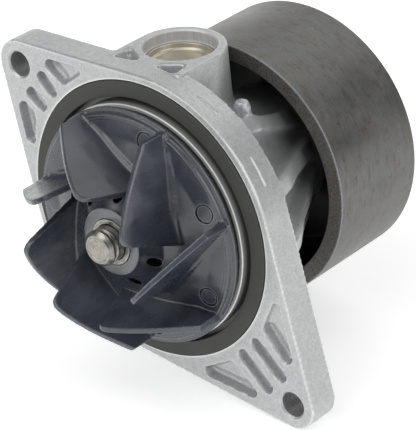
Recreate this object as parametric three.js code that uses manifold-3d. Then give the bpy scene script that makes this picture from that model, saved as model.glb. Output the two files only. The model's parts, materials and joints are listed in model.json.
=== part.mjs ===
// Engine coolant pump with a plain drum pulley. Millimetres, +Z up.
// The shaft runs along Y: the impeller faces -Y, the pulley is at +Y and the top boss points up.
// Every piece is built with y = 0 on the flange's mounting face. The last group then moves the
// origin to the centre of the shaft's front end face.
import * as THREE from "three";
import { mergeVertices, toCreasedNormals } from "three/addons/utils/BufferGeometryUtils.js";
import Module from "manifold-3d";

const wasm = await Module();
wasm.setup();

// ---- driving dimensions ----

const GAP = 0.3; // left between neighbouring pieces
const ROUND = 40; // segments round a large turned piece
const SMALL_ROUND = 20; // segments round a small one

const FLANGE = { radius: 52.5, thickness: 12, edge: 0.8 };
const LUG = { radius: 8.75, holeRadius: 4.5 };
const LUG_CENTRES = [
  [-54.2, 43.4],
  [58.3, -51.9],
];
const SEAL_GROOVE = { inner: 42.4, outer: 50, floor: 4 };
const PILOT = { front: -2.4, bore: 41.1 };
const CHAMBER_FLOOR = 1.5;

const BOSS = { x: -4.9, y: 26.9, top: 52.5, radius: 15.8, footRadius: 17.2, foot: 21 };
const BOSS_BORE = { mouth: 12.5, ledge: 48.5, radius: 12, bottom: 32 };
const WEEP = { radius: 2.4, y: 24 };

const NECK_END = 67.5;
const BEARING = { radius: 19, start: 28.5, end: 67, bore: 16.3, shaft: 9.5, pitch: 12.9 };
const BALLS = { count: 8, radius: 3.5, y: 37 };
const ROLLERS = { count: 9, radius: 3.1, length: 10, y: 57 };

const SHAFT = { front: -25.5, headRadius: 6.4, grooveRadius: 5.4, noseRadius: 6.2, seatRadius: 9.2, end: 85 };
const SEAL_BORE = { mouth: 7.3, radius: 17.6 };
const SEAL_CUP = { front: 6, rear: 14.5, radius: 17.3, wall: 0.8 };
const SPRING = { radius: 14.2, wire: 0.7, front: 6.4, rear: 12.7, turns: 3 };

const VANES = { count: 7, offset: 22.4, thickness: 2.2, tip: 41.4, tipFront: -16.3, coneSlope: 1.1 };
const VANE_FOOT_ANGLE = 12.3;
const HUB = { faceRadius: 11.8, front: -18.7, bore: 8.2, rearRadius: 13.2, rear: 0.8 };
const RIM = { radius: 42.4, front: -5.8, back: -4.5 };
const BALANCE_HOLES = { pitch: 15.8, radius: 1.8, angle: -17.5 };

const PULLEY = { radius: 47.05, start: 44.8, end: 86.65, mouth: 41.2, webFront: 74, webBack: 80 };

// ---- small tools ----

const radians = THREE.MathUtils.degToRad;

// A closed three.js geometry as a manifold-3d solid.
function solid(geometry) {
  const bare = geometry.clone();
  bare.deleteAttribute("normal");
  bare.deleteAttribute("uv");
  const merged = mergeVertices(bare, 1e-4);
  const corners = merged.index.array;
  const kept = [];
  for (let i = 0; i < corners.length; i += 3) {
    const [a, b, c] = corners.slice(i, i + 3);
    if (a !== b && b !== c && c !== a) kept.push(a, b, c);
  }
  const mesh = new wasm.Mesh({
    numProp: 3,
    vertProperties: merged.attributes.position.array,
    triVerts: new Uint32Array(kept),
  });
  return new wasm.Manifold(mesh);
}

// A manifold-3d solid as a three.js geometry, smooth except at its edges.
function geometryOf(body) {
  const mesh = body.getMesh();
  const geometry = new THREE.BufferGeometry();
  geometry.setAttribute("position", new THREE.BufferAttribute(mesh.vertProperties, 3));
  geometry.setIndex(new THREE.BufferAttribute(mesh.triVerts, 1));
  return toCreasedNormals(geometry, radians(35));
}

const union = (first, ...others) => others.reduce((body, other) => body.add(other), first);
const cut = (body, ...tools) => tools.reduce((rest, tool) => rest.subtract(tool), body);

// Copies of a geometry turned round the shaft to each angle, as solids. An angle of 0 is along +X.
function aroundShaft(geometry, angles) {
  return angles.map((angle) => solid(geometry.clone().rotateY(-radians(angle))));
}

const spread = (count, first) => Array.from({ length: count }, (_, i) => first + (i * 360) / count);

// A profile of [radius, y] points turned round the shaft axis. The profile of a solid piece starts
// and ends on the axis, and that of a ring is closed here.
function turned(profile, segments = ROUND) {
  const points = profile.map(([r, y]) => new THREE.Vector2(r, y));
  if (THREE.ShapeUtils.area(points) < 0) points.reverse();
  if (points[0].x > 0) points.push(points[0].clone());
  return new THREE.LatheGeometry(points, segments);
}

const ring = (inner, outer, front, rear, segments) =>
  turned([[inner, front], [outer, front], [outer, rear], [inner, rear]], segments);

const plug = (radius, front, rear, segments) =>
  turned([[0, front], [radius, front], [radius, rear], [0, rear]], segments);

// Points of an arc in a profile, from one angle to another in degrees.
function arc(r, y, radius, from, to, steps) {
  return Array.from({ length: steps + 1 }, (_, i) => {
    const angle = radians(from + ((to - from) * i) / steps);
    return [r + radius * Math.cos(angle), y + radius * Math.sin(angle)];
  });
}

// The outline that wraps a row of circles [x, y, radius] taken anticlockwise.
function wrapped(circles) {
  const tangent = ([xa, ya, ra], [xb, yb, rb]) =>
    Math.atan2(yb - ya, xb - xa) - Math.acos((ra - rb) / Math.hypot(xb - xa, yb - ya));
  const shape = new THREE.Shape();
  circles.forEach((circle, i) => {
    const before = circles.at(i - 1);
    const after = circles[(i + 1) % circles.length];
    shape.absarc(...circle, tangent(before, circle), tangent(circle, after), false);
  });
  return shape;
}

// An outline in x and z, given thickness from y = front to y = rear.
function slab(shape, front, rear, edge = 0, curveSegments = 4) {
  const geometry = new THREE.ExtrudeGeometry(shape, {
    depth: rear - front - 2 * edge,
    curveSegments,
    bevelEnabled: edge > 0,
    bevelThickness: edge,
    bevelSize: edge,
    bevelOffset: -edge,
    bevelSegments: 1,
  });
  return geometry.rotateX(Math.PI / 2).translate(0, rear - edge, 0);
}

// A side profile in [radius, y], given thickness and centred on the plane of the shaft.
function fin(points, thickness, edge = 0) {
  const shape = new THREE.Shape(points.map(([r, y]) => new THREE.Vector2(r, y)));
  const depth = thickness - 2 * edge;
  return new THREE.ExtrudeGeometry(shape, {
    depth,
    bevelEnabled: edge > 0,
    bevelThickness: edge,
    bevelSize: edge,
    bevelOffset: -edge,
    bevelSegments: 1,
  }).translate(0, 0, -depth / 2);
}

// A turned shape stood upright at (x, y), its profile given as [radius, z].
const upright = (profile, x, y, segments) =>
  turned(profile, segments).rotateX(Math.PI / 2).translate(x, y, 0);

// ---- housing ----

// Cored pockets in the flange face: parallel slots, and wider triangles beyond the outer ones.
const FACE_SLOTS = [
  [[-39.3, 46.4, 2.2], [-35, 43.4, 2.2]],
  [[-43.6, 40.9, 2.3], [-40.1, 37.4, 2.3]],
  [[-49.3, 33.6, 2.3], [-45.4, 30.8, 2.3]],
  [[-53.6, 27.2, 2.3], [-51.8, 16.7, 1.9]],
  [[49.8, -26.2, 2.2], [56.6, -34.2, 2.2]],
  [[44.4, -33.5, 2.2], [53.8, -42.2, 2.2]],
  [[38.6, -39.7, 2.2], [47.8, -48.5, 2.2]],
  [[23, -51, 1.8], [41, -52.6, 2]],
];
const FACE_TRIANGLES = [
  [[-39.3, 46.6, 2], [-34.3, 43.1, 2], [-27.4, 47.4, 1.3]],
  [[-53.6, 27.2, 2.2], [-51.6, 16.7, 1.7], [-49.8, 26, 1.2]],
  [[53.2, -16.8, 1.5], [49.6, -26, 2], [56.8, -34.2, 2]],
  [[22.8, -50.9, 1.5], [41, -52.4, 2], [33.2, -45.3, 1.7]],
];

function flangePlate() {
  const disc = [0, 0, FLANGE.radius];
  const [upper, lower] = LUG_CENTRES.map(([x, z]) => [x, z, LUG.radius]);
  return solid(slab(wrapped([lower, disc, upper, disc]), 0, FLANGE.thickness, FLANGE.edge, 8));
}

// Trumpet from the flange down to the bearing housing.
function neck() {
  const flare = [[46.5, 12.3], [38.8, 23], [32.5, 34], [27, 46], [24.2, 58]];
  return solid(turned([[15, 6], [46.5, 6], ...flare, [23.6, NECK_END], [15, NECK_END]]));
}

// Ribs that stand on the trumpet. None is put under the boss.
function ribs() {
  const ridge = [[51, 12], [47.5, 20], [42.8, 27], [38, 34], [32.6, 44], [25, 58], [20, 62]];
  const angles = spread(14, 22.8).filter((angle) => Math.abs(angle - 98) > 30);
  return aroundShaft(fin([[20, 9], [51, 9], ...ridge], 6.4, 1.4), angles);
}

// Upright boss, the web that ties it to the flange, and a small lug beside it.
function boss() {
  const post = [[0, BOSS.foot], [BOSS.footRadius, BOSS.foot], [BOSS.radius, BOSS.top], [0, BOSS.top]];
  const webLength = BOSS.y - 8;
  const web = new THREE.BoxGeometry(2 * BOSS.radius, webLength, BOSS.top - 30);
  web.translate(BOSS.x, BOSS.y - webLength / 2, (BOSS.top + 30) / 2);
  const lug = upright([[0, 22], [3.3, 22], [2.7, 37.6], [1.8, 39.6], [0, 40.6]], 22.9, 24.3, 14);
  return union(solid(upright(post, BOSS.x, BOSS.y, 30)), solid(web), solid(lug));
}

// Blind bore with a ledge for the cup plug, and the passage from it down to the seal cavity.
function bossBore() {
  const { mouth, ledge, radius, bottom } = BOSS_BORE;
  const profile = [
    [0, bottom],
    [radius - 1, bottom],
    [radius, bottom + 1],
    [radius, ledge],
    [mouth, ledge],
    [mouth, BOSS.top - 0.4],
    [mouth + 0.5, BOSS.top + 0.1],
    [mouth + 0.5, BOSS.top + 1],
    [0, BOSS.top + 1],
  ];
  const drill = [[0, 12], [WEEP.radius, 12], [WEEP.radius, bottom + 1], [0, bottom + 1]];
  const passage = upright(drill, BOSS.x, WEEP.y, 12);
  return union(solid(upright(profile, BOSS.x, BOSS.y, 30)), solid(passage));
}

// A pair of mirrored three-sided pockets in the top, between the web's sides and the boss.
function topPockets() {
  return [-1, 1].map((side) => {
    const corners = [[11.7, 9.7, 0.9], [11.4, 13.9, 0.9], [5.8, 10.6, 0.8]];
    const mirrored = corners.map(([x, y, r]) => [BOSS.x + side * x, y, r]);
    const outline = wrapped(side > 0 ? mirrored : mirrored.reverse());
    const pocket = new THREE.ExtrudeGeometry(outline, { depth: 10, bevelEnabled: false, curveSegments: 4 });
    return solid(pocket.translate(0, 0, BOSS.top - 9));
  });
}

// The cavity along the shaft: pilot, chamber, seal bore, drained gap and bearing bore.
function shaftCavity() {
  const bearingBore = BEARING.radius + GAP;
  return solid(
    turned([
      [0, PILOT.front - 1],
      [PILOT.bore, PILOT.front - 1],
      [PILOT.bore, CHAMBER_FLOOR],
      [20.5, CHAMBER_FLOOR],
      [20.5, SEAL_BORE.mouth],
      [SEAL_BORE.radius, SEAL_BORE.mouth],
      [SEAL_BORE.radius, 20],
      [16, 20],
      [16, BEARING.start - GAP],
      [bearingBore, BEARING.start - GAP],
      [bearingBore, NECK_END + 1],
      [0, NECK_END + 1],
    ]),
  );
}

function housingBody() {
  const { inner, outer, floor } = SEAL_GROOVE;
  const pilot = turned([
    [38, 6],
    [38, PILOT.front],
    [inner - 0.7, PILOT.front],
    [inner, PILOT.front + 0.7],
    [inner, 6],
  ]);
  const groove = solid(ring(inner, outer, -1, floor));
  const holes = LUG_CENTRES.map(([x, z]) => solid(plug(LUG.holeRadius, -1, 20, 20).translate(x, 0, z)));
  const slots = FACE_SLOTS.map((slot) => solid(slab(wrapped(slot), -1, 3.4)));
  const triangles = FACE_TRIANGLES.map((triangle) => solid(slab(wrapped(triangle), -1, 1.7)));
  const drain = solid(upright([[0, -60], [WEEP.radius, -60], [WEEP.radius, -12], [0, -12]], 0, WEEP.y, 12));
  const plate = cut(flangePlate(), groove, ...slots, ...triangles);
  const casting = union(plate, neck(), ...ribs(), boss(), solid(pilot));
  return cut(casting, ...holes, shaftCavity(), bossBore(), ...topPockets(), drain);
}

function faceSealBody() {
  const { outer, floor } = SEAL_GROOVE;
  return solid(ring(44.2, outer - GAP, -0.7, floor - GAP));
}

// Pressed cup, open side up.
function weepPlugBody() {
  const radius = BOSS_BORE.radius - GAP;
  const rim = BOSS_BORE.ledge - 0.1;
  const profile = [
    [0, rim - 3.2],
    [radius - 1, rim - 3.2],
    [radius, rim - 2.4],
    [radius, rim],
    [radius - 0.8, rim],
    [radius - 0.9, rim - 1.8],
    [radius - 1.6, rim - 2.4],
    [0, rim - 2.4],
  ];
  return solid(upright(profile, BOSS.x, BOSS.y, SMALL_ROUND));
}

// ---- impeller and shaft ----

// Front edge of a vane, at a distance along it from the foot of the shaft's perpendicular.
function vaneFront(along) {
  const radius = Math.hypot(VANES.offset, along);
  return VANES.tipFront - (VANES.tip - radius) * VANES.coneSlope;
}

// A flat vane that stands off the axis. Its front edge follows the cone of the chamber it runs in.
function vane() {
  const length = Math.sqrt(VANES.tip ** 2 - VANES.offset ** 2);
  const corner = 3.2;
  const inner = 7.4;
  const shape = new THREE.Shape();
  shape.moveTo(length, RIM.front + 0.2);
  const steps = 4;
  for (let i = 0; i <= steps; i += 1) {
    const along = length + ((inner + corner - length) * i) / steps;
    shape.lineTo(along, vaneFront(along));
  }
  shape.quadraticCurveTo(inner, vaneFront(inner), inner - 1.4, vaneFront(inner) + 3.4);
  shape.lineTo(-2, -13);
  shape.lineTo(-2, RIM.front - 4);
  shape.lineTo(26, RIM.front + 0.2);
  const { offset, thickness } = VANES;
  const plate = new THREE.ExtrudeGeometry(shape, { depth: thickness, bevelEnabled: false, curveSegments: 4 });
  return plate.translate(0, 0, -thickness / 2).rotateY(-Math.PI / 2).translate(offset, 0, 0);
}

function impellerBody() {
  const disc = turned([
    [HUB.bore, HUB.front],
    [HUB.faceRadius, HUB.front],
    [HUB.faceRadius + 0.4, HUB.front + 0.6],
    [17.8, -13],
    [24, -11.2],
    [33, -8.2],
    [40.6, -7.3],
    [40.8, RIM.front],
    [RIM.radius, RIM.front],
    [RIM.radius, RIM.back],
    [37, RIM.back],
    [26, -7.2],
    [17.8, -10.8],
    [HUB.rearRadius, -12.8],
    [HUB.rearRadius, HUB.rear],
    [12, HUB.rear],
    [12, -4.2],
    [HUB.bore, -4.2],
  ]);
  const vanes = aroundShaft(vane(), spread(VANES.count, VANE_FOOT_ANGLE));
  const drill = plug(BALANCE_HOLES.radius, -20, -5, 12).translate(BALANCE_HOLES.pitch, 0, 0);
  const holes = aroundShaft(drill, spread(VANES.count, BALANCE_HOLES.angle));
  return cut(union(solid(disc), ...vanes), ...holes);
}

const insertBody = () =>
  solid(ring(SHAFT.headRadius + 0.1, HUB.bore - GAP, HUB.front - 0.1, -4.6, SMALL_ROUND));

function shaftBody() {
  const { front, headRadius, grooveRadius, noseRadius, seatRadius, end } = SHAFT;
  const grooveHalf = Math.acos((BEARING.pitch - BEARING.shaft) / (BALLS.radius + GAP));
  const grooveAngle = THREE.MathUtils.radToDeg(grooveHalf);
  return solid(
    turned(
      [
        [0, front],
        [headRadius - 1.3, front],
        [headRadius, front + 1.5],
        [headRadius, front + 2],
        [grooveRadius, front + 2.4],
        [grooveRadius, front + 3.4],
        [noseRadius, front + 3.8],
        [noseRadius, 21],
        [BEARING.shaft, 25],
        ...arc(BEARING.pitch, BALLS.y, BALLS.radius + GAP, 180 + grooveAngle, 180 - grooveAngle, 4),
        [BEARING.shaft, 69],
        [seatRadius, 69.5],
        [seatRadius, end - 1],
        [seatRadius - 1, end],
        [0, end],
      ],
      24,
    ),
  );
}

// ---- mechanical seal ----

function sealSeatBody() {
  return solid(ring(7, 10.5, -2.6, 1.5, SMALL_ROUND));
}

// Rubber cup round the back and the outside of the seat.
function seatBootBody() {
  const profile = [[6.8, -3.9], [11.7, -3.9], [11.7, 0.5], [10.8, 0.5], [10.8, -2.9], [6.8, -2.9]];
  return solid(turned(profile, SMALL_ROUND));
}

// Narrow nose that runs on the seat, and a shoulder that the spring pushes.
function carbonRingBody() {
  const profile = [[7.4, 1.8], [9.6, 1.8], [9.6, 4], [15.4, 4], [15.4, 5.4], [12, 5.4], [12, 7], [7.4, 7]];
  return solid(turned(profile, SMALL_ROUND));
}

function bellowsBody() {
  const outer = [[12.4, 7.3], [12.4, 8.6], [11, 9.6], [11, 10.2], [12.4, 11.2], [12.4, 13.2]];
  const inner = [[11.4, 13.2], [11.4, 11.6], [10, 10.6], [10, 9.2], [11.2, 8.3], [8.6, 8.3], [8.6, 7.3]];
  return solid(turned([...outer, ...inner], SMALL_ROUND));
}

// Pressed case: a flange that stops on the housing, a wall in the bore and a bottom behind the bellows.
function sealCupBody() {
  const { front, rear, radius, wall } = SEAL_CUP;
  const profile = [
    [radius - wall, front],
    [19.8, front],
    [19.8, front + 1],
    [radius, front + 1],
    [radius, rear],
    [7.6, rear],
    [7.6, rear - wall],
    [radius - wall, rear - wall],
  ];
  return solid(turned(profile, SMALL_ROUND));
}

class Helix extends THREE.Curve {
  getPoint(t) {
    const angle = 2 * Math.PI * SPRING.turns * t;
    const y = THREE.MathUtils.lerp(SPRING.front, SPRING.rear, t);
    return new THREE.Vector3(SPRING.radius * Math.cos(angle), y, SPRING.radius * Math.sin(angle));
  }
}

function springBody() {
  const wire = new THREE.Shape().absarc(0, 0, SPRING.wire, 0, 2 * Math.PI, false);
  const steps = 14 * SPRING.turns;
  const coil = new THREE.ExtrudeGeometry(wire, { extrudePath: new Helix(), steps, curveSegments: 3 });
  return solid(coil);
}

// ---- shaft bearing ----

function sleeveBody() {
  const { radius, start, end, bore, pitch } = BEARING;
  const grooveAngle = THREE.MathUtils.radToDeg(Math.acos((bore - pitch) / (BALLS.radius + GAP)));
  const groove = arc(pitch, BALLS.y, BALLS.radius + GAP, grooveAngle, -grooveAngle, 4);
  const outer = [[radius, start + 0.6], [radius, end - 0.6], [radius - 0.6, end], [bore, end]];
  return solid(turned([[bore, start], [radius - 0.6, start], ...outer, ...groove], 28));
}

// Plate with a turned-in lip that runs close to the shaft.
function lipSealBody(outside, inward) {
  const at = (depth) => outside + inward * depth;
  const plate = [[10.8, at(0)], [BEARING.bore - GAP, at(0)], [BEARING.bore - GAP, at(1)], [11.4, at(1)]];
  return solid(turned([...plate, [BEARING.shaft + GAP, at(2)], [BEARING.shaft + GAP, at(1.3)]], SMALL_ROUND));
}

function ballBody(index) {
  const ball = new THREE.SphereGeometry(BALLS.radius, 10, 6);
  const angle = (index * 360) / BALLS.count;
  return solid(ball.translate(BEARING.pitch, BALLS.y, 0).rotateY(-radians(angle)));
}

function rollerBody(index) {
  const roller = new THREE.CylinderGeometry(ROLLERS.radius, ROLLERS.radius, ROLLERS.length, 12);
  const angle = (index * 360) / ROLLERS.count;
  return solid(roller.translate(BEARING.pitch, ROLLERS.y, 0).rotateY(-radians(angle)));
}

// A ring with one window for each rolling piece.
function cageBody(row, width, window) {
  const band = solid(ring(11.6, 14.2, row.y - width / 2, row.y + width / 2, 24));
  return cut(band, ...aroundShaft(window.translate(BEARING.pitch, row.y, 0), spread(row.count, 0)));
}

function ballCageBody() {
  const radius = BALLS.radius + 0.35;
  const window = new THREE.CylinderGeometry(radius, radius, 8, 12).rotateZ(Math.PI / 2);
  return cageBody(BALLS, 9.6, window);
}

function rollerCageBody() {
  const window = new THREE.BoxGeometry(8, ROLLERS.length + 2 * GAP, 2 * (ROLLERS.radius + GAP));
  return cageBody(ROLLERS, 13, window);
}

// ---- pulley ----

function pulleyBody() {
  const { radius, start, end, mouth, webFront, webBack } = PULLEY;
  const bevel = 0.7;
  const hub = { bore: SHAFT.seatRadius + GAP, radius: 16, front: 70, rear: 84 };
  return solid(
    turned([
      [mouth, start],
      [radius - bevel, start],
      [radius, start + bevel],
      [radius, end - bevel],
      [radius - bevel, end],
      [mouth - 0.5, end],
      [mouth - 1, webBack + 1.5],
      [mouth - 3, webBack],
      [hub.radius + 2, webBack],
      [hub.radius, webBack + 1.5],
      [hub.radius, hub.rear],
      [hub.bore, hub.rear],
      [hub.bore, hub.front],
      [hub.radius, hub.front],
      [hub.radius + 1, webFront - 1],
      [hub.radius + 3, webFront],
      [mouth - 4, webFront],
      [mouth - 0.8, webFront - 3],
    ]),
  );
}

// ---- materials ----

const finish = (color, metalness, roughness) => ({ color, metalness, roughness });
const CAST_ALUMINIUM = finish(0xb4b8ba, 0.75, 0.5);
const BLACK_RUBBER = finish(0x3b3b38, 0, 0.75);
const DARK_PLASTIC = finish(0x3a3f4b, 0, 0.42);
const BRIGHT_STEEL = finish(0xa9a79f, 1, 0.3);
const OXIDE_STEEL = finish(0x55534e, 0.8, 0.48);
const YELLOW_ZINC = finish(0xb7a683, 0.85, 0.38);
const CERAMIC = finish(0xe6e3dc, 0, 0.3);
const CARBON = finish(0x2c2d2f, 0.1, 0.5);
const CAGE_NYLON = finish(0x8a7f5e, 0, 0.6);

// ---- assembly ----

function piece(name, body, look) {
  const mesh = new THREE.Mesh(geometryOf(body), new THREE.MeshStandardMaterial(look));
  mesh.name = name;
  return mesh;
}

const pump = new THREE.Group();
pump.name = "coolant_pump";
pump.add(
  piece("housing", housingBody(), CAST_ALUMINIUM),
  piece("face_seal", faceSealBody(), BLACK_RUBBER),
  piece("weep_plug", weepPlugBody(), YELLOW_ZINC),
  piece("impeller", impellerBody(), DARK_PLASTIC),
  piece("impeller_insert", insertBody(), BRIGHT_STEEL),
  piece("shaft", shaftBody(), BRIGHT_STEEL),
  piece("seal_seat", sealSeatBody(), CERAMIC),
  piece("seat_boot", seatBootBody(), BLACK_RUBBER),
  piece("carbon_ring", carbonRingBody(), CARBON),
  piece("seal_bellows", bellowsBody(), BLACK_RUBBER),
  piece("seal_spring", springBody(), BRIGHT_STEEL),
  piece("seal_cup", sealCupBody(), BRIGHT_STEEL),
  piece("bearing_sleeve", sleeveBody(), BRIGHT_STEEL),
  piece("bearing_seal_front", lipSealBody(BEARING.start + 0.6, 1), BLACK_RUBBER),
  piece("bearing_seal_rear", lipSealBody(BEARING.end - 0.6, -1), BLACK_RUBBER),
  piece("ball_cage", ballCageBody(), CAGE_NYLON),
  piece("roller_cage", rollerCageBody(), CAGE_NYLON),
  piece("pulley", pulleyBody(), OXIDE_STEEL),
);
for (let i = 0; i < BALLS.count; i += 1) pump.add(piece(`ball_${i + 1}`, ballBody(i), BRIGHT_STEEL));
for (let i = 0; i < ROLLERS.count; i += 1) pump.add(piece(`roller_${i + 1}`, rollerBody(i), BRIGHT_STEEL));

pump.position.y = -SHAFT.front;

const assembly = new THREE.Group();
assembly.add(pump);

export default assembly;
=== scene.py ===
"""Finished shapes and materials of the coolant pump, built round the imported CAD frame.

Shapes are drawn in millimetres with y measured from the flange's mounting face, as in the CAD
part, and go into the shared frame (metres) when they become objects.
"""
import json
import math

import bmesh
import bpy
from mathutils import Matrix, Vector

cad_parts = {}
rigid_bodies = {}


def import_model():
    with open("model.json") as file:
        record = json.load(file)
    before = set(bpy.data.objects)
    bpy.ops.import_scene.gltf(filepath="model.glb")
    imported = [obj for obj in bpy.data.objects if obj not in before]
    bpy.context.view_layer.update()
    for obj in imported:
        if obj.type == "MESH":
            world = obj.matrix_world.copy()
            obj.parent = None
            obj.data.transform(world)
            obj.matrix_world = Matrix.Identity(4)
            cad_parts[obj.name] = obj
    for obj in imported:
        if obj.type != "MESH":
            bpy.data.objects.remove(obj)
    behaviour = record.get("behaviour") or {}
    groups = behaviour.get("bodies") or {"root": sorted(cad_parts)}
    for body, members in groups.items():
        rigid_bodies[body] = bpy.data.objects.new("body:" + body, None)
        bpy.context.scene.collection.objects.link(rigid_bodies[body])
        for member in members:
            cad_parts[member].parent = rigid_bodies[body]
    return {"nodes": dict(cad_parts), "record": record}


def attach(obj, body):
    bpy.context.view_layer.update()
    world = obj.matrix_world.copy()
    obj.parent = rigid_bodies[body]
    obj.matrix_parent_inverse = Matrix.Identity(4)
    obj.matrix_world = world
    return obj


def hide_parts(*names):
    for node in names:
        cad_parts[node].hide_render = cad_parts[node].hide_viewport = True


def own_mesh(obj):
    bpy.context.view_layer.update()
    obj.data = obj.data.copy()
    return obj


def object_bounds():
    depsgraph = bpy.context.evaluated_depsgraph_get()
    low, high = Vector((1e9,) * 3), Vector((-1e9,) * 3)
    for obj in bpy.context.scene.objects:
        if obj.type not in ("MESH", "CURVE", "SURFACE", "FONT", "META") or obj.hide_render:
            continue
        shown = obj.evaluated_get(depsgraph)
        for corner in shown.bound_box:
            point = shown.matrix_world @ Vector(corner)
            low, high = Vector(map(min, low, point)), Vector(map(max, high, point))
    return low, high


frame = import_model()
cad_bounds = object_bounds()

MOUNTS = {mount["name"]: Vector(mount["pos_m"]) for mount in frame["record"]["mounts"]}
FACE_Y = MOUNTS["flange_face"].y
TO_FRAME = Matrix.Translation((0, FACE_Y, 0)) @ Matrix.Scale(0.001, 4)

# ---- dimensions in millimetres ----

FLANGE_RADIUS = 52.5
FLANGE_THICKNESS = 12
LUG_RADIUS = 8.75
LUG_HOLE_RADIUS = 4.5
LUG_CENTRES = ((-54.2, 43.4), (58.3, -51.9))
GROOVE_INNER, GROOVE_OUTER, GROOVE_FLOOR = 42.4, 50, 4
PILOT_FRONT, PILOT_BORE, CHAMBER_FLOOR = -2.4, 41.1, 1.5
NECK_END = 67.5
BOSS_X, BOSS_Y, BOSS_TOP, BOSS_RADIUS = -4.9, 26.9, 52.48, 15.8
SIDE_LUG_X, SIDE_LUG_Y, SIDE_LUG_TOP = 22.9, 24.3, 40.8
VANE_COUNT = 7
VANE_OFFSET, VANE_TIP, VANE_TIP_FRONT = 22.4, 41.4, -16.2
VANE_FOOT_ANGLE = 12.3
VANE_CONE_SLOPE = 1.1
RIM_RADIUS, RIM_FRONT, RIM_BACK = 42.4, -5.8, -4.5
PLATE_PROFILE = (
    (11.8, -18.7), (12.2, -18.1), (17.8, -13), (24, -11.2), (33, -8.2), (40.6, -7.3), (40.8, RIM_FRONT),
)
HOLE_PITCH, HOLE_RADIUS, HOLE_ANGLE = 15.8, 1.9, -17.5
MARK_PITCH, MARK_RADIUS, MARK_ANGLE, MARK_LEAN = 35.3, 2.8, 25, 0.15
RIB_COUNT, FIRST_RIB_ANGLE, RIB_HALF_WIDTH = 14, 22.8, 3.4
BOSS_ANGLE, RIB_FREE_ANGLE = 98, 30
PULLEY_RADIUS, PULLEY_BORE, PULLEY_FRONT, PULLEY_REAR = 47.05, 41.2, 44.8, 86.64
WEB_FRONT, WEB_REAR = 74, 80
SHAFT_FRONT, SHAFT_REAR = -25.5, 85


# ---- mesh tools ----


def add_object(name, mesh):
    obj = bpy.data.objects.new(name, mesh)
    bpy.context.scene.collection.objects.link(obj)
    return obj


def from_bmesh(name, bm):
    """A bmesh drawn in millimetres as an object in the shared frame."""
    bmesh.ops.recalc_face_normals(bm, faces=bm.faces)
    bm.transform(TO_FRAME)
    mesh = bpy.data.meshes.new(name)
    bm.to_mesh(mesh)
    bm.free()
    return add_object(name, mesh)


def rounded(points, radius, steps=4):
    """A closed outline with its corners rounded. A corner on the axis stays sharp."""
    result = []
    for i, corner in enumerate(points):
        corner = Vector(corner)
        before = Vector(points[i - 1]) - corner
        after = Vector(points[(i + 1) % len(points)]) - corner
        reach = min(radius, before.length * 0.45, after.length * 0.45)
        if corner.x == 0 or reach == 0:
            result.append(corner)
            continue
        start = corner + before.normalized() * reach
        end = corner + after.normalized() * reach
        for step in range(steps + 1):
            t = step / steps
            result.append((1 - t) ** 2 * start + 2 * t * (1 - t) * corner + t**2 * end)
    return result


def lathe(points, steps):
    """A closed profile of (radius, y) turned round the shaft axis, as a bmesh."""
    bm = bmesh.new()
    verts = [bm.verts.new((p[0], p[1], 0)) for p in points]
    edges = []
    for a, b in zip(verts, verts[1:] + verts[:1]):
        if a.co.x > 0 or b.co.x > 0:
            edges.append(bm.edges.new((a, b)))
    bmesh.ops.spin(
        bm, geom=verts + edges, axis=(0, 1, 0), cent=(0, 0, 0), angle=math.tau, steps=steps, use_merge=True
    )
    bmesh.ops.remove_doubles(bm, verts=bm.verts, dist=1e-4)
    return bm


def turned(name, points, rounding=0.0, steps=160):
    """A closed profile of (radius, y) turned round the shaft axis, as an object."""
    return from_bmesh(name, lathe(rounded(points, rounding) if rounding else points, steps))


def upright(name, points, x, y, rounding=0.0, steps=96):
    """A turned shape whose axis stands up at (x, y), its profile given as (radius, z)."""
    bm = lathe(rounded(points, rounding) if rounding else points, steps)
    bm.transform(Matrix.Translation((x, y, 0)) @ Matrix.Rotation(math.pi / 2, 4, "X"))
    return from_bmesh(name, bm)


def prism(points, low, high, axis="Y"):
    """A flat outline given thickness along Y (outline in x, z) or along Z (outline in x, y)."""
    bm = bmesh.new()
    place = (lambda p, h: (p[0], h, p[1])) if axis == "Y" else (lambda p, h: (p[0], p[1], h))
    bottom = [bm.verts.new(place(p, low)) for p in points]
    top = [bm.verts.new(place(p, high)) for p in points]
    bm.faces.new(bottom)
    bm.faces.new(top)
    for i, start in enumerate(bottom):
        j = (i + 1) % len(bottom)
        bm.faces.new((start, bottom[j], top[j], top[i]))
    return bm


def wrapped(circles, steps=16):
    """The outline round a row of circles (x, y, radius) taken anticlockwise."""

    def tangent(a, b):
        lean = math.acos((a[2] - b[2]) / math.dist(a[:2], b[:2]))
        return math.atan2(b[1] - a[1], b[0] - a[0]) - lean

    points = []
    for i, (x, y, radius) in enumerate(circles):
        after = circles[(i + 1) % len(circles)]
        start = tangent(circles[i - 1], circles[i])
        sweep = (tangent(circles[i], after) - start) % math.tau
        for step in range(steps + 1):
            angle = start + sweep * step / steps
            points.append((x + radius * math.cos(angle), y + radius * math.sin(angle)))
    return points


def drafted(name, circles, mouth, floor, axis="Y"):
    """A pocket wrapped round circles, whose walls lean in towards its floor as a mould's do."""
    lean = 0.22 * abs(floor - mouth) / 2
    bm = prism(wrapped([(x, y, r + lean) for x, y, r in circles]), mouth, floor, axis)
    deep = wrapped([(x, y, max(r - lean, 0.15)) for x, y, r in circles])
    along = 1 if axis == "Y" else 2
    ends = [v for v in bm.verts if abs(v.co[along] - floor) < 1e-6]
    for vert, (a, b) in zip(ends, deep):
        vert.co = (a, floor, b) if axis == "Y" else (a, b, floor)
    return from_bmesh(name, bm)


def turned_about_shaft(bm, degrees):
    """Turns a bmesh round the shaft axis, anticlockwise as seen from the front."""
    bm.transform(Matrix.Rotation(-math.radians(degrees), 4, "Y"))
    return bm


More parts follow.
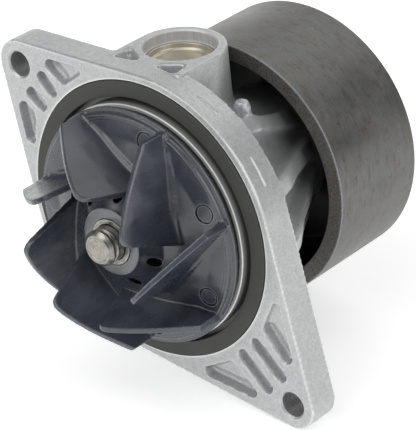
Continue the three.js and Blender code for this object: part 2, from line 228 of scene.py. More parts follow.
def applied(obj):
    """Bakes an object's modifiers into its mesh."""
    depsgraph = bpy.context.evaluated_depsgraph_get()
    mesh = bpy.data.meshes.new_from_object(obj.evaluated_get(depsgraph))
    obj.modifiers.clear()
    obj.data = mesh
    return obj


def combined(obj, others, operation):
    """Adds the other objects to obj, or cuts them from it, and removes them."""
    for other in others:
        boolean = obj.modifiers.new(operation, "BOOLEAN")
        boolean.solver = "MANIFOLD"
        boolean.operation = operation
        boolean.object = other
    applied(obj)
    for other in others:
        bpy.data.objects.remove(other)
    return obj


def melted(obj, voxel, passes):
    """Runs a solid's surface together as moulding does, and rounds its edges a little."""
    remesh = obj.modifiers.new("melt", "REMESH")
    remesh.mode = "VOXEL"
    remesh.voxel_size = voxel / 1000
    smooth = obj.modifiers.new("soften", "SMOOTH")
    smooth.factor = 0.5
    smooth.iterations = passes
    return applied(obj)


def softened(obj, chosen, passes):
    """Smooths only the vertices that chosen(x, y, z) picks, given in millimetres."""
    group = obj.vertex_groups.new(name="soft")
    to_drawing = TO_FRAME.inverted()
    picked = [v.index for v in obj.data.vertices if chosen(*(to_drawing @ v.co))]
    group.add(picked, 1.0, "REPLACE")
    smooth = obj.modifiers.new("fillet", "SMOOTH")
    smooth.factor = 0.5
    smooth.iterations = passes
    smooth.vertex_group = "soft"
    applied(obj)
    obj.vertex_groups.clear()
    return obj


def thinned(obj, ratio):
    """Fewer faces where the surface is flat."""
    decimate = obj.modifiers.new("thin", "DECIMATE")
    decimate.ratio = ratio
    return applied(obj)


def shade_smooth(obj, degrees=35):
    """Smooth shading that keeps flat areas flat next to rounded edges."""
    obj.data.shade_smooth()
    obj.data.set_sharp_from_angle(angle=math.radians(degrees))
    weighted = obj.modifiers.new("flat areas", "WEIGHTED_NORMAL")
    weighted.keep_sharp = True


# ---- housing ----

FACE_SLOTS = (
    ((-39.3, 46.4, 2.2), (-35, 43.4, 2.2)),
    ((-43.6, 40.9, 2.3), (-40.1, 37.4, 2.3)),
    ((-49.3, 33.6, 2.3), (-45.4, 30.8, 2.3)),
    ((-53.6, 27.2, 2.3), (-51.8, 16.7, 1.9)),
    ((49.8, -26.2, 2.2), (56.6, -34.2, 2.2)),
    ((44.4, -33.5, 2.2), (53.8, -42.2, 2.2)),
    ((38.6, -39.7, 2.2), (47.8, -48.5, 2.2)),
    ((23, -51, 1.8), (41, -52.6, 2)),
)
FACE_TRIANGLES = (
    ((-39.3, 46.6, 2), (-34.3, 43.1, 2), (-27.4, 47.4, 1.3)),
    ((-53.6, 27.2, 2.2), (-51.6, 16.7, 1.7), (-49.8, 26, 1.2)),
    ((53.2, -16.8, 1.5), (49.6, -26, 2), (56.8, -34.2, 2)),
    ((22.8, -50.9, 1.5), (41, -52.4, 2), (33.2, -45.3, 1.7)),
)
RIB_RIDGE = ((51, 12), (47.5, 20), (42.8, 27), (38, 34), (32.6, 44), (25, 58), (20, 62))


def flange_plate():
    disc = (0, 0, FLANGE_RADIUS)
    upper, lower = ((x, z, LUG_RADIUS) for x, z in LUG_CENTRES)
    outline = wrapped([lower, disc, upper, disc], 40)
    return from_bmesh("housing_cast", prism(outline, 0, FLANGE_THICKNESS))


def neck():
    flare = [(47, 11.5), (40.2, 23), (33.9, 34), (28, 46), (24.5, 58)]
    return turned("neck", [(15, 6), (46.5, 6), *flare, (23.6, NECK_END), (15, NECK_END)])


def rib(degrees):
    """One rib of the neck. Its ridge stands proud of RIB_RIDGE, because smoothing takes some off."""
    bm = bmesh.new()
    outline = [(20, 9), (51, 9), *((r + 1.2, y + 0.6) for r, y in RIB_RIDGE)]
    sides = [[bm.verts.new((r, y, side)) for r, y in outline] for side in (-RIB_HALF_WIDTH, RIB_HALF_WIDTH)]
    for side in sides:
        bm.faces.new(side)
    for i in range(len(outline)):
        j = (i + 1) % len(outline)
        bm.faces.new((sides[0][i], sides[0][j], sides[1][j], sides[1][i]))
    bmesh.ops.recalc_face_normals(bm, faces=bm.faces)
    return from_bmesh("rib", turned_about_shaft(bm, degrees))


def boss_parts():
    """The upright boss and the web that joins it to the flange."""
    post = upright("post", [(0, 21), (17.2, 21), (BOSS_RADIUS, BOSS_TOP), (0, BOSS_TOP)], BOSS_X, BOSS_Y)
    left, right = BOSS_X - BOSS_RADIUS, BOSS_X + BOSS_RADIUS
    web_outline = [(left, 8), (right, 8), (right, BOSS_Y), (left, BOSS_Y)]
    web = from_bmesh("web", prism(web_outline, 30, BOSS_TOP, "Z"))
    return [post, web]


def side_lug():
    """The short upright stub beside the boss."""
    top = SIDE_LUG_TOP
    profile = [(0, 22), (3.6, 22), (2.9, top - 2.6), (2.1, top - 0.8), (0, top)]
    return upright("side_lug", profile, SIDE_LUG_X, SIDE_LUG_Y)


def face_pockets():
    slots = [drafted("slot", slot, -1, 3.4) for slot in FACE_SLOTS]
    triangles = [drafted("triangle", corners, -1, 1.7) for corners in FACE_TRIANGLES]
    return slots + triangles


def top_pockets():
    corners = [(11.7, 9.7, 0.9), (11.4, 13.9, 0.9), (5.8, 10.6, 0.8)]
    right = [(BOSS_X + x, y, r) for x, y, r in corners]
    left = [(BOSS_X - x, y, r) for x, y, r in reversed(corners)]
    return [drafted("top_pocket", c, BOSS_TOP + 1, BOSS_TOP - 6, "Z") for c in (left, right)]


def machined_cutters():
    """Everything that is cut after casting, so its edges stay crisp."""
    groove = turned(
        "groove",
        [(GROOVE_INNER, PILOT_FRONT - 1), (GROOVE_OUTER, PILOT_FRONT - 1), (GROOVE_OUTER, GROOVE_FLOOR),
         (GROOVE_INNER, GROOVE_FLOOR)],
    )
    cavity = turned(
        "cavity",
        [(0, -4), (PILOT_BORE, -4), (PILOT_BORE, CHAMBER_FLOOR), (20.5, CHAMBER_FLOOR), (20.5, 7.3),
         (17.6, 7.3), (17.6, 20), (16, 20), (16, 28.2), (19.3, 28.2), (19.3, 70), (0, 70)],
    )
    bore = upright(
        "bore",
        [(0, 32), (12, 32), (12, 48.5), (12.5, 48.5), (12.5, BOSS_TOP - 0.5), (13.1, BOSS_TOP + 0.1),
         (13.1, BOSS_TOP + 2), (0, BOSS_TOP + 2)],
        BOSS_X, BOSS_Y,
    )
    drain = upright("drain", [(0, -60), (2.4, -60), (2.4, -12), (0, -12)], 0, 24, steps=32)
    passage = upright("passage", [(0, 12), (2.4, 12), (2.4, 33), (0, 33)], BOSS_X, 24, steps=32)
    holes = []
    for x, z in LUG_CENTRES:
        hole = lathe([(0, -1), (6.1, -1), (LUG_HOLE_RADIUS, 0.6), (LUG_HOLE_RADIUS, 20), (0, 20)], 64)
        hole.transform(Matrix.Translation((x, 0, z)))
        holes.append(from_bmesh("hole", hole))
    return [groove, cavity, bore, drain, passage, *holes]


def casting_bead(start, end):
    """A short raised line on the flange's side, between two angles round the shaft."""
    bm = bmesh.new()
    steps = 12
    rings = []
    for i in range(steps + 1):
        angle = math.radians(start + (end - start) * i / steps)
        size = 0.85 if 0 < i < steps else 0.3
        ring = []
        for j in range(8):
            turn = math.radians(45 * j)
            radius = FLANGE_RADIUS - 0.5 + size * math.cos(turn)
            y = 5.6 + size * math.sin(turn)
            ring.append(bm.verts.new((radius * math.cos(angle), y, radius * math.sin(angle))))
        rings.append(ring)
    for a, b in zip(rings, rings[1:]):
        for j in range(8):
            bm.faces.new((a[j - 1], a[j], b[j], b[j - 1]))
    bm.faces.new(rings[0])
    bm.faces.new(rings[-1])
    return from_bmesh("bead", bm)


def is_neck(x, y, z):
    """Behind the flange and below the boss's flat top, where the casting is full of fillets."""
    on_side_lug = z > 36 and math.dist((x, y), (SIDE_LUG_X, SIDE_LUG_Y)) < 3.8
    return y > FLANGE_THICKNESS + 0.6 and z < BOSS_TOP - 2 and not on_side_lug


def build_housing():
    pilot = turned("pilot", [(38, 6), (38, PILOT_FRONT), (GROOVE_INNER, PILOT_FRONT), (GROOVE_INNER, 6)], 0.4)
    rib_angles = [FIRST_RIB_ANGLE + i * 360 / RIB_COUNT for i in range(RIB_COUNT)]
    ribs = [rib(angle) for angle in rib_angles if abs(angle - BOSS_ANGLE) > RIB_FREE_ANGLE]
    housing = combined(flange_plate(), [neck(), *ribs, *boss_parts(), side_lug()], "UNION")
    combined(housing, face_pockets() + top_pockets(), "DIFFERENCE")
    melted(housing, 0.5, 2)
    softened(housing, is_neck, 70)
    thinned(housing, 0.5)
    combined(housing, [pilot, casting_bead(57, 68), casting_bead(26, 39)], "UNION")
    combined(housing, machined_cutters(), "DIFFERENCE")
    housing.name = "housing_cast"
    return housing


# ---- impeller ----


def plate_front(radius):
    """Front surface of the impeller's plate, which rises in a cone towards the hub."""
    for (r0, y0), (r1, y1) in zip(PLATE_PROFILE, PLATE_PROFILE[1:]):
        if radius <= r1:
            return y0 + (y1 - y0) * max(radius - r0, 0) / (r1 - r0)
    return RIM_FRONT


def vane_edge():
    """Inner and front edge of a vane as (distance along it, y), from the plate to the tip."""

    def front(along):
        return VANE_TIP_FRONT - (VANE_TIP - math.hypot(VANE_OFFSET, along)) * VANE_CONE_SLOPE

    tip = math.sqrt(VANE_TIP**2 - VANE_OFFSET**2)
    foot, corner = Vector((-2.0, -13.0)), Vector((7.0, front(7.0)))
    start, end = corner.lerp(foot, 0.17), Vector((10.4, front(10.4)))
    inner = [foot.lerp(start, i / 7) for i in range(7)]
    bend = [start.lerp(corner, i / 6).lerp(corner.lerp(end, i / 6), i / 6) for i in range(6)]
    outer = [Vector((end.x + (tip - end.x) * i / 20, 0)) for i in range(21)]
    return inner + bend + [Vector((p.x, front(p.x))) for p in outer]


def vane_half_thickness(height, fillet):
    """Half of a vane's thickness above the plate: a fillet at its foot, then a slight draft."""
    rise = max(fillet - height, 0)
    return 1.35 - 0.0175 * height + fillet - math.sqrt(fillet**2 - min(rise, fillet) ** 2)


def vane_column(bm, side, along, front):
    """A vane's points above one place on the plate, from inside the plate up to the vane's edge."""
    radius = math.hypot(VANE_OFFSET, along)
    fillet = 1.3 if radius < 37 else 0.6
    foot = plate_front(radius)
    total = foot - front
    low = min(fillet, total * 0.9)
    heights = [-1.0] + [low * (1 - math.cos(math.radians(18 * i))) for i in range(6)]
    heights += [low + (total - low) * i / 5 for i in range(1, 6)]
    column = []
    for height in heights:
        x = VANE_OFFSET + side * vane_half_thickness(height, fillet)
        column.append(bm.verts.new((x, foot - height, along)))
    return column


def vane(degrees):
    """A flat vane with two sides built from columns of points, closed along its border."""
    bm = bmesh.new()
    sheets = []
    for side in (-1, 1):
        sheet = [vane_column(bm, side, along, front) for along, front in vane_edge()]
        sheets.append(sheet)
        for a, b in zip(sheet, sheet[1:]):
            for i in range(len(a) - 1):
                bm.faces.new((a[i], a[i + 1], b[i + 1], b[i]))
    left, right = sheets
    border = [(0, i) for i in range(len(left[0]))]
    border += [(i, -1) for i in range(1, len(left))]
    border += [(-1, i) for i in range(len(left[0]) - 2, -1, -1)]
    border += [(i, 0) for i in range(len(left) - 2, 0, -1)]
    for (a, i), (b, j) in zip(border, border[1:] + border[:1]):
        bm.faces.new((left[a][i], left[b][j], right[b][j], right[a][i]))
    return from_bmesh("vane", turned_about_shaft(bm, degrees))


def impeller_disc():
    rim = [(RIM_RADIUS, RIM_FRONT), (RIM_RADIUS, RIM_BACK), (37, RIM_BACK)]
    back = [(26, -7.2), (17.8, -10.8), (13.2, -12.8), (13.2, 0.8), (12, 0.8), (12, -4.2), (8.2, -4.2)]
    return turned("impeller_moulded", [(8.2, -18.7), *PLATE_PROFILE, *rim, *back])


def impeller_cutters():
    """Balance holes round the hub, and the circles left by the mould's ejector pins."""
    outer, inner = MARK_RADIUS + 0.7, MARK_RADIUS + 0.1
    mark_profile = [(0, -2), (outer, -2), (outer, 0.7), (inner, 0.7), (MARK_RADIUS, 0.15), (0, 0.15)]
    mark_spot = Matrix.Translation((MARK_PITCH, plate_front(MARK_PITCH), 0))
    mark_place = mark_spot @ Matrix.Rotation(MARK_LEAN, 4, "Z")
    cutters = []
    for i in range(VANE_COUNT):
        turn = i * 360 / VANE_COUNT
        hole = lathe([(0, -20), (HOLE_RADIUS, -20), (HOLE_RADIUS, -5), (0, -5)], 32)
        hole.transform(Matrix.Translation((HOLE_PITCH, 0, 0)))
        cutters.append(from_bmesh("balance_hole", turned_about_shaft(hole, turn + HOLE_ANGLE)))
        mark = lathe(mark_profile, 40)
        mark.transform(mark_place)
        cutters.append(from_bmesh("ejector_mark", turned_about_shaft(mark, turn + MARK_ANGLE)))
    return cutters


def build_impeller():
    vanes = [vane(VANE_FOOT_ANGLE + i * 360 / VANE_COUNT) for i in range(VANE_COUNT)]
    impeller = combined(impeller_disc(), vanes, "UNION")
    melted(impeller, 0.3, 9)
    thinned(impeller, 0.6)
    combined(impeller, impeller_cutters(), "DIFFERENCE")
    impeller.name = "impeller_moulded"
    return impeller


# ---- turned and moulded rings ----


def build_pulley():
    return turned(
        "pulley_drum",
        [(PULLEY_BORE, PULLEY_FRONT), (PULLEY_RADIUS, PULLEY_FRONT), (PULLEY_RADIUS, PULLEY_REAR),
         (40.7, PULLEY_REAR), (40.2, WEB_REAR + 1.5), (38.2, WEB_REAR), (18, WEB_REAR), (16, WEB_REAR + 1.5),
         (16, 84), (9.5, 84), (9.5, 70), (16, 70), (17, WEB_FRONT - 1), (19, WEB_FRONT), (37.5, WEB_FRONT),
         (40.6, WEB_FRONT - 3)],
        0.55,
        224,
    )


def build_shaft():
    return turned(
        "shaft_steel",
        [(0, SHAFT_FRONT), (5.1, SHAFT_FRONT), (6.4, -24), (6.4, -23.5), (5.4, -23.1), (5.4, -22.1),
         (6.2, -21.7), (6.2, 21), (9.5, 25), (9.5, 35.3), (9.1, 36), (9.1, 38), (9.5, 38.7), (9.5, 69),
         (9.2, 69.5), (9.2, SHAFT_REAR - 1), (8.2, SHAFT_REAR), (0, SHAFT_REAR)],
        0.35,
        96,
    )


def build_insert():
    return turned("insert_steel", [(6.5, -18.9), (8.15, -18.9), (8.15, -4.6), (6.5, -4.6)], 0.2, 96)


def build_face_seal():
    return turned("face_seal_rubber", [(44.2, -0.7), (49.7, -0.7), (49.7, 3.7), (44.2, 3.7)], 0.35, 192)


def build_weep_plug():
    return upright(
        "weep_plug_cup",
        [(0, 45.2), (10.7, 45.2), (11.7, 46), (11.7, 48.4), (10.9, 48.4), (10.8, 46.8), (9.9, 46), (0, 46)],
        BOSS_X, BOSS_Y, 0.3,
    )


# ---- materials ----


class Material:
    """A node material built up from named steps."""

    def __init__(self, name):
        self.material = bpy.data.materials.new(name)
        self.material.use_nodes = True
        self.tree = self.material.node_tree
        self.shader = self.tree.nodes["Principled BSDF"]
        self.position = self.node("ShaderNodeTexCoord").outputs["Object"]

    def node(self, kind, inputs=None, **settings):
        node = self.tree.nodes.new(kind)
        for key, value in settings.items():
            setattr(node, key, value)
        for key, value in (inputs or {}).items():
            self.feed(node.inputs[key], value)
        return node

    def feed(self, socket, value):
        if isinstance(value, bpy.types.NodeSocket):
            self.tree.links.new(value, socket)
        else:
            socket.default_value = value

    def maths(self, operation, a, b=0.0):
        return self.node("ShaderNodeMath", {0: a, 1: b}, operation=operation).outputs[0]

    def times(self, a, b):
        return self.maths("MULTIPLY", a, b)

    def stretched(self, scale):
        """Positions scaled by a different amount along each axis."""
        return self.node("ShaderNodeMapping", {"Vector": self.position, "Scale": scale}).outputs[0]

    def noise(self, scale, detail=3.0, rough=0.55, vector=None):
        inputs = {"Vector": vector or self.position, "Scale": scale, "Detail": detail, "Roughness": rough}
        return self.node("ShaderNodeTexNoise", inputs).outputs["Fac"]

    def ramp(self, factor, stops):
        node = self.node("ShaderNodeValToRGB", {"Fac": factor})
        elements = node.color_ramp.elements
        while len(elements) < len(stops):
            elements.new(0.5)
        for element, (place, color) in zip(elements, stops):
            element.position = place
            element.color = (*color, 1) if isinstance(color, tuple) else (color, color, color, 1)
        return node.outputs["Color"]

    def spread(self, pattern, low, high):
        """A ramp over the middle of a pattern, where nearly all of its values lie."""
        return self.ramp(pattern, ((0.3, low), (0.7, high)))

    def varied(self, tone, pattern, low, high):
        """A tone made darker and lighter by a pattern."""
        return self.mix(1.0, tone, self.spread(pattern, low, high), "MULTIPLY")

    def mix(self, factor, a, b, blend="MIX"):
        node = self.tree.nodes.new("ShaderNodeMix")
        node.data_type = "RGBA"
        node.blend_type = blend
        self.feed(node.inputs["Factor"], factor)
        self.feed(node.inputs[6], (*a, 1) if isinstance(a, tuple) else a)
        self.feed(node.inputs[7], (*b, 1) if isinstance(b, tuple) else b)
        return node.outputs[2]

    def bump(self, height, strength, distance, normal=None):
        inputs = {"Height": height, "Strength": strength, "Distance": distance}
        if normal is not None:
            inputs["Normal"] = normal
        return self.node("ShaderNodeBump", inputs).outputs["Normal"]

    def edges(self, width):
        """A mask for painted highlights: rises from 0 on flat faces to 1 on outside edges, over a width in
        metres.
        """
        settings = {"samples": 8, "inside": True, "only_local": True}
        depth = self.node("ShaderNodeAmbientOcclusion", {"Distance": width}, **settings)
        return self.between(depth.outputs["AO"], 0.92, 0.5)

    def corners(self, width):
        """A mask for painted shade: rises from 0 on flat faces to 1 in inside corners and narrow gaps, over a
        width in metres.
        """
        space = self.node("ShaderNodeAmbientOcclusion", {"Distance": width}, samples=8)
        return self.between(space.outputs["AO"], 0.85, 0.4)

    def between(self, value, start, end):
        """0 before start, 1 after end, and even in between."""
        inputs = {"Value": value, "From Min": start, "From Max": end}
        return self.node("ShaderNodeMapRange", inputs, clamp=True).outputs["Result"]

    def coordinate(self, axis):
        return self.node("ShaderNodeSeparateXYZ", {"Vector": self.position}).outputs[axis]

    def radius(self):
        """Distance from the shaft axis in metres."""
        flat = self.node("ShaderNodeCombineXYZ", {"X": self.coordinate("X"), "Z": self.coordinate("Z")})
        return self.node("ShaderNodeVectorMath", {0: flat.outputs[0]}, operation="LENGTH").outputs["Value"]

    def by_radius(self, start, end):
        """0 to 1 as the distance from the shaft axis goes from start to end, in millimetres."""
        return self.between(self.radius(), start / 1000, end / 1000)

    def by_depth(self, start, end):
        """0 to 1 as y goes from start to end, in millimetres from the mounting face."""
        return self.between(self.coordinate("Y"), FACE_Y + start / 1000, FACE_Y + end / 1000)

    def unrolled(self, around, along):
        """Positions on a drum unrolled: scales round the shaft, and along it or out from it."""
        turn = self.maths("ARCTAN2", self.coordinate("Z"), self.coordinate("X"))
        reach = self.maths("ADD", self.coordinate("Y"), self.radius())
        place = {"X": self.times(turn, around), "Y": self.times(reach, along)}
        return self.node("ShaderNodeCombineXYZ", place).outputs[0]

    def rings(self, per_metre):
        """Fine turning lines round the shaft."""
        line = self.node("ShaderNodeCombineXYZ", {"X": self.times(self.radius(), per_metre)})
        return self.noise(1, 2, 0.6, line.outputs[0])

    def finish(self, color, roughness, metallic, normal=None, **extra):
        self.feed(self.shader.inputs["Base Color"], color)
        self.feed(self.shader.inputs["Roughness"], roughness)
        self.feed(self.shader.inputs["Metallic"], metallic)
        if normal is not None:
            self.feed(self.shader.inputs["Normal"], normal)
        for key, value in extra.items():
            self.feed(self.shader.inputs[key.replace("_", " ")], value)
        return self.material


def cast_aluminium():
    m = Material("cast_aluminium")
    tone = m.spread(m.noise(40, 4), (0.50, 0.51, 0.515), (0.55, 0.56, 0.56))
    grain = m.noise(1500, 4, 0.75)
    tone = m.mix(1.0, tone, m.ramp(grain, ((0.32, 0.76), (0.5, 0.98), (0.68, 1.12))), "MULTIPLY")
    tone = m.varied(tone, m.noise(420, 4, 0.6), 0.92, 1.05)
    # Painted shade: the neck is darkened towards the shaft and towards the back, behind the flange and inside
    # the drum.
    near_axis, far_back = m.by_radius(52, 37), m.by_depth(10.5, 40.5)
    tone = m.mix(m.times(m.times(near_axis, far_back), 0.3), tone, (0.09, 0.092, 0.09))
    # Painted shade in inside corners and narrow gaps.
    tone = m.mix(m.times(m.corners(0.002), 0.3), tone, (0.2, 0.205, 0.21))
    # Painted highlight: near-white lines along outside edges.
    tone = m.mix(m.times(m.edges(0.0011), 0.9), tone, (0.95, 0.96, 0.95))
    rough = m.spread(m.noise(500, 3), 0.32, 0.46)
    pits = m.bump(grain, 0.45, 0.00015)
    ripple = m.bump(m.noise(250, 4), 0.3, 0.0005, pits)
    return m.finish(tone, rough, 0.55, ripple)


def machined_aluminium():
    m = Material("machined_aluminium")
    rings = m.rings(4200)
    tone = m.spread(rings, (0.50, 0.50, 0.49), (0.66, 0.66, 0.65))
    tone = m.varied(tone, m.noise(120, 4), 0.88, 1.05)
    # Painted shade in inside corners and narrow gaps of the turned faces.
    tone = m.mix(m.times(m.corners(0.004), 0.8), tone, (0.10, 0.10, 0.098))
    # Painted highlight: the pilot's front face round the bore is painted near white.
    pilot_highlight, front = m.by_radius(40.6, 41), m.by_depth(-1.8, -2.3)
    tone = m.mix(m.times(pilot_highlight, front), tone, (0.93, 0.93, 0.91))
    return m.finish(tone, m.spread(rings, 0.34, 0.46), 0.5, m.bump(rings, 0.06, 0.00003))


def bored_aluminium(name, dark, light):
    """A drilled or bored wall, with scratches along its upright axis and painted highlights along its edges.
    """
    m = Material(name)
    scores = m.noise(1, 4, 0.65, m.stretched((1500, 1500, 90)))
    tone = m.spread(scores, (dark, dark, dark * 1.02), (light, light, light * 1.01))
    # Painted highlight: near-white lines along the edges.
    tone = m.mix(m.edges(0.0009), tone, (0.92, 0.92, 0.90))
    rough = m.spread(scores, 0.42, 0.55)
    return m.finish(tone, rough, 0.45, m.bump(scores, 0.15, 0.0001))


def rubber():
    m = Material("black_rubber")
    fine = m.noise(1500, 2)
    tone = m.spread(m.noise(60, 4), (0.047, 0.047, 0.045), (0.056, 0.056, 0.053))
    tone = m.varied(tone, m.rings(2200), 0.88, 1.1)
    rough = m.spread(fine, 0.55, 0.70)
    return m.finish(tone, rough, 0.0, m.bump(fine, 0.15, 0.00008))


def moulded_plastic():
    m = Material("dark_plastic")
    flow = m.noise(26, 2, 0.5)
    shades = (0.3, (0.022, 0.026, 0.037)), (0.5, (0.036, 0.043, 0.058)), (0.7, (0.072, 0.08, 0.1))
    tone = m.ramp(flow, shades)
    streaks = m.noise(1, 4, 0.6, m.stretched((150, 70, 260)))
    tone = m.varied(tone, streaks, 0.86, 1.14)
    on_rim = m.times(m.by_radius(37.6, 38.2), m.by_depth(-9, -8.3))
    rim_lines = m.ramp(m.rings(2000), ((0.44, (0.012, 0.014, 0.02)), (0.62, (0.12, 0.13, 0.15))))
    tone = m.mix(m.times(on_rim, 0.6), tone, rim_lines)
    near_axis, in_front = m.by_radius(12.1, 11.8), m.by_depth(-18.1, -18.5)
    hub_face = m.spread(m.rings(2600), (0.105, 0.11, 0.125), (0.20, 0.205, 0.225))
    tone = m.mix(m.times(near_axis, in_front), tone, hub_face)
    # Painted shade in inside corners and narrow gaps.
    tone = m.mix(m.times(m.corners(0.002), 0.4), tone, (0.006, 0.006, 0.008))
    # Painted highlight: light lines along outside edges.
    tone = m.mix(m.times(m.edges(0.0005), 0.65), tone, (0.36, 0.37, 0.40))
    rough = m.spread(streaks, 0.22, 0.31)
    swell = m.bump(m.noise(50, 2), 0.6, 0.002)
    grain = m.bump(m.noise(400, 2), 0.03, 0.00005, swell)
    return m.finish(tone, rough, 0.0, grain, Specular_IOR_Level=0.95)


def shaded_plastic():
    """The walls of the balance holes, which get no light."""
    m = Material("shaded_plastic")
    grain = m.noise(900)
    tone = m.spread(grain, (0.002, 0.002, 0.003), (0.006, 0.006, 0.008))
    return m.finish(tone, m.spread(grain, 0.5, 0.7), 0.0, m.bump(grain, 0.1, 0.0001))


def oxide_steel():
    m = Material("oxide_steel")
    cloud = m.noise(1, 6, 0.6, m.unrolled(4, 60))
    shades = (0.32, (0.127, 0.130, 0.124)), (0.5, (0.157, 0.159, 0.151)), (0.68, (0.175, 0.178, 0.176))
    tone = m.ramp(cloud, shades)
    stain = m.ramp(m.noise(1, 8, 0.8, m.unrolled(8, 260)), ((0.50, 0.0), (0.62, 0.7)))
    tone = m.mix(stain, tone, (0.128, 0.100, 0.076))
    smears = m.ramp(m.noise(1, 7, 0.75, m.unrolled(12, 520)), ((0.58, 0.0), (0.68, 0.7)))
    tone = m.mix(smears, tone, (0.055, 0.052, 0.05))
    dots = m.ramp(m.noise(1700, 2, 0.5), ((0.72, 0.0), (0.76, 0.7)))
    tone = m.mix(dots, tone, (0.40, 0.40, 0.39))
    lines = m.noise(1, 5, 0.75, m.unrolled(5, 4200))
    tone = m.varied(tone, lines, 0.70, 1.28)
    speckle = m.ramp(m.noise(2400, 4, 0.75), ((0.38, (0.065, 0.062, 0.056)), (0.62, (0.26, 0.25, 0.23))))
    tone = m.mix(m.times(m.by_depth(45.4, 45), 0.85), tone, speckle)
    # Painted shade: the inside of the drum's open cup is painted near black.
    inside = m.times(m.by_radius(41.4, 41), m.by_depth(79, 78.5))
    tone = m.mix(m.times(inside, 0.9), tone, (0.008, 0.008, 0.008))
    # Painted highlight: a bluish-white line along the drum's outer edges.
    outer_highlight = m.times(m.edges(0.0007), m.by_radius(45.5, 46.5))
    tone = m.mix(outer_highlight, tone, (0.76, 0.85, 0.95))
    rough = m.spread(cloud, 0.34, 0.50)
    return m.finish(tone, rough, 0.7, m.bump(lines, 0.18, 0.00008))


def ground_steel():
    m = Material("bright_steel")
    stain = m.noise(420, 4, 0.6)
    tone = m.ramp(stain, ((0.35, (0.26, 0.25, 0.225)), (0.6, (0.40, 0.39, 0.36))))
    tone = m.mix(1.0, tone, m.ramp(m.rings(1500), ((0.35, 0.7), (0.65, 1.2))), "MULTIPLY")
    rust = m.ramp(m.noise(700, 4, 0.65), ((0.45, 0.0), (0.68, 0.7)))
    core = m.by_radius(4.5, 1)
    tone = m.mix(m.times(rust, core), tone, (0.42, 0.29, 0.18))
    lines = m.noise(1, 3, 0.7, m.stretched((200, 6000, 200)))
    # Painted highlight: light lines along outside edges.
    tone = m.mix(m.times(m.edges(0.0006), 0.5), tone, (0.80, 0.79, 0.75))
    rough = m.spread(stain, 0.24, 0.38)
    return m.finish(tone, rough, 0.9, m.bump(lines, 0.08, 0.00005))


def yellow_zinc():
    m = Material("yellow_zinc")
    cloud = m.noise(220, 4, 0.6)
    tone = m.spread(cloud, (0.49, 0.45, 0.36), (0.64, 0.60, 0.51))
    rough = m.spread(cloud, 0.28, 0.40)
    return m.finish(tone, rough, 0.7, m.bump(m.noise(1500), 0.1, 0.00005))


def plain_technical(name, dark, light, rough, metallic=0.0):
    """A fine-grained finish for a piece hidden inside the pump."""
    m = Material(name)
    grain = m.noise(900, 3)
    tone = m.spread(grain, dark, light)
    roughness = m.spread(grain, rough, rough + 0.12)
    return m.finish(tone, roughness, metallic, m.bump(grain, 0.1, 0.00005))


def set_material(obj, *materials):
    obj.data.materials.clear()
    for material in materials:
        obj.data.materials.append(material)


def housing_zone(x, y, z):
    """0 as cast, 1 turned about the shaft, 2 bored in the boss, 3 drilled in a lug."""
    radius = math.hypot(x, z)
    if radius < GROOVE_OUTER - 0.2 and y < GROOVE_FLOOR + 0.2:
        return 1
    if math.dist((x, y), (BOSS_X, BOSS_Y)) < 12.9 and 31 < z < BOSS_TOP - 0.05:
        return 2
    if any(math.dist((x, z), centre) < LUG_HOLE_RADIUS + 0.2 for centre in LUG_CENTRES):
        return 3
    return 0


def impeller_zone(x, y, z):
    """0 for the moulding, 1 for the wall of a balance hole."""
    pitch_angle = 2 * math.pi / VANE_COUNT
    angle = math.atan2(z, x) - math.radians(HOLE_ANGLE)
    offset = angle - pitch_angle * round(angle / pitch_angle)
    away = math.dist((math.hypot(x, z), 0), (HOLE_PITCH * math.cos(offset), HOLE_PITCH * math.sin(offset)))
    return int(away < HOLE_RADIUS + 0.1 and y > -16.8)


def paint_zones(obj, zone):
    """Gives each face the material that zone(x, y, z) picks, in millimetres."""
    to_drawing = TO_FRAME.inverted()
    for face in obj.data.polygons:
        face.material_index = zone(*(to_drawing @ face.center))


# ---- the pump ----


def place(obj, body, slot, node, *materials):
    set_material(obj, *materials)
    shade_smooth(obj)
    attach(obj, body)
    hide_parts(node)


def pressed_together(soft, slide, slot, material):
    """A copy of a soft CAD piece with its own mesh, set on the joint's parent body in place of the CAD piece.
    """
    node, fixed_end = soft["node"], soft["fixed_end_y_m"]
    piece = add_object(node + "_pressed", frame["nodes"][node].data.copy())
    place(piece, slide["parent"], slot, node, material)
    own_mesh(piece)


CAST, MACHINED = cast_aluminium(), machined_aluminium()
BORED = bored_aluminium("bored_aluminium", 0.46, 0.68)
# The lug holes' walls get a darker copy of the bored finish: painted shade inside the holes.
DRILLED_IN_SHADE = bored_aluminium("shaded_drilled_aluminium", 0.22, 0.42)
RUBBER, PLASTIC, SHADED, OXIDE = rubber(), moulded_plastic(), shaded_plastic(), oxide_steel()
STEEL, ZINC = ground_steel(), yellow_zinc()
CERAMIC = plain_technical("ceramic", (0.74, 0.72, 0.68), (0.82, 0.80, 0.76), 0.25)
CARBON = plain_technical("carbon", (0.018, 0.019, 0.020), (0.030, 0.031, 0.033), 0.42)
NYLON = plain_technical("cage_nylon", (0.24, 0.20, 0.12), (0.30, 0.26, 0.16), 0.45)

housing = build_housing()
place(housing, "housing", "cast_aluminium", "housing", CAST, MACHINED, BORED, DRILLED_IN_SHADE)
paint_zones(housing, housing_zone)
place(build_face_seal(), "housing", "black_rubber", "face_seal", RUBBER)
place(build_weep_plug(), "housing", "yellow_zinc", "weep_plug", ZINC)
impeller = build_impeller()
place(impeller, "rotor", "dark_plastic", "impeller", PLASTIC, SHADED)
paint_zones(impeller, impeller_zone)
place(build_insert(), "rotor", "bright_steel", "impeller_insert", STEEL)
place(build_shaft(), "rotor", "bright_steel", "shaft", STEEL)
place(build_pulley(), "rotor", "oxide_steel", "pulley", OXIDE)

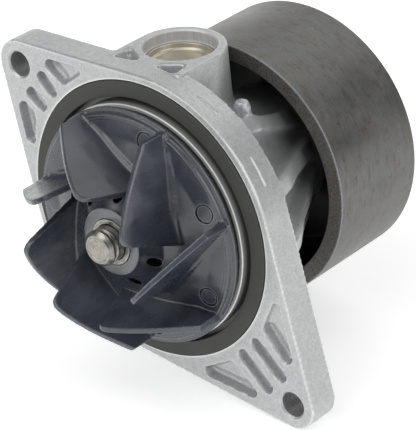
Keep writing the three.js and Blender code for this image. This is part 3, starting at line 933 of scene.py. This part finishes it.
SLOT_MATERIALS = {
    "black_rubber": RUBBER,
    "bright_steel": STEEL,
    "ceramic": CERAMIC,
    "carbon": CARBON,
    "cage_nylon": NYLON,
}
SLOTS = {subpart["node"]: subpart["material_slot"] for subpart in frame["record"]["subparts"]}
for joint in frame["record"]["behaviour"]["joints"]:
    for soft in joint.get("deforming_nodes", []):
        slot = SLOTS[soft["node"]]
        pressed_together(soft, joint, slot, SLOT_MATERIALS[slot])
for name, slot in SLOTS.items():
    node = frame["nodes"][name]
    if slot in SLOT_MATERIALS and not node.hide_render:
        set_material(node, SLOT_MATERIALS[slot])

# ---- studio ----


def pale_floor():
    m = Material("studio_floor")
    tone = m.spread(m.noise(3, 2), (0.93, 0.93, 0.93), (0.95, 0.95, 0.95))
    bm = bmesh.new()
    bmesh.ops.create_grid(bm, x_segments=2, y_segments=2, size=6000)
    floor = from_bmesh("floor", bm)
    floor.location.z = cad_bounds[0].z
    set_material(floor, m.finish(tone, 0.8, 0.0, Emission_Color=(1, 1, 1, 1), Emission_Strength=0.45))


LIGHT_DISTANCE = 1.1
CAMERA_DISTANCE = 0.838
LIGHTS = (
    ("key", -25, 50, 0.8, 0.8, 3.4),
    ("low_front", -20, 15, 0.6, 0.6, 1.6),
    ("fill", 95, 30, 0.8, 0.9, 4.2),
    ("overhead", 20, 65, 0.9, 0.9, 2.3),
    ("back", 180, 45, 0.8, 0.8, 2),
    ("left_rear", -140, 15, 0.7, 0.7, 1.6),
)


def direction(azimuth, elevation):
    """From the object towards a viewer. Azimuth 0 looks at the impeller end."""
    a, e = math.radians(azimuth), math.radians(elevation)
    return Vector((math.sin(a) * math.cos(e), -math.cos(a) * math.cos(e), math.sin(e)))


def soft_light(name, azimuth, elevation, width, height, power):
    """A square or upright soft box that faces the object."""
    light = bpy.data.lights.new(name, "AREA")
    light.shape = "RECTANGLE"
    light.size, light.size_y = width, height
    light.energy = power
    obj = bpy.data.objects.new(name, light)
    bpy.context.scene.collection.objects.link(obj)
    towards = direction(azimuth, elevation)
    obj.location = towards * LIGHT_DISTANCE
    obj.rotation_euler = towards.to_track_quat("Z", "Y").to_euler()


def studio_camera():
    """A long lens in front of the impeller, to the right of the shaft and above it."""
    azimuth, elevation, roll = 41.34, 27.55, -3.485
    aim = Vector((0.0149, 0.0388, 0.0004))
    back = direction(azimuth, elevation)
    side = Vector((math.cos(math.radians(azimuth)), math.sin(math.radians(azimuth)), 0))
    turn = Matrix((side, back.cross(side), back)).transposed() @ Matrix.Rotation(math.radians(roll), 3, "Z")
    camera = bpy.data.cameras.new("camera")
    camera.lens = 210.6
    camera.sensor_width = 36
    camera.clip_start = 0.01
    obj = bpy.data.objects.new("camera", camera)
    obj.matrix_world = Matrix.Translation(aim + back * CAMERA_DISTANCE) @ turn.to_4x4()
    bpy.context.scene.collection.objects.link(obj)
    bpy.context.scene.camera = obj


def soft_world():
    world = bpy.data.worlds.new("studio")
    world.use_nodes = True
    background = world.node_tree.nodes["Background"]
    background.inputs["Color"].default_value = (1, 1, 1, 1)
    background.inputs["Strength"].default_value = 0.2
    bpy.context.scene.world = world


pale_floor()
soft_world()
for light in LIGHTS:
    soft_light(*light)
studio_camera()
bpy.context.scene.view_settings.view_transform = "Standard"
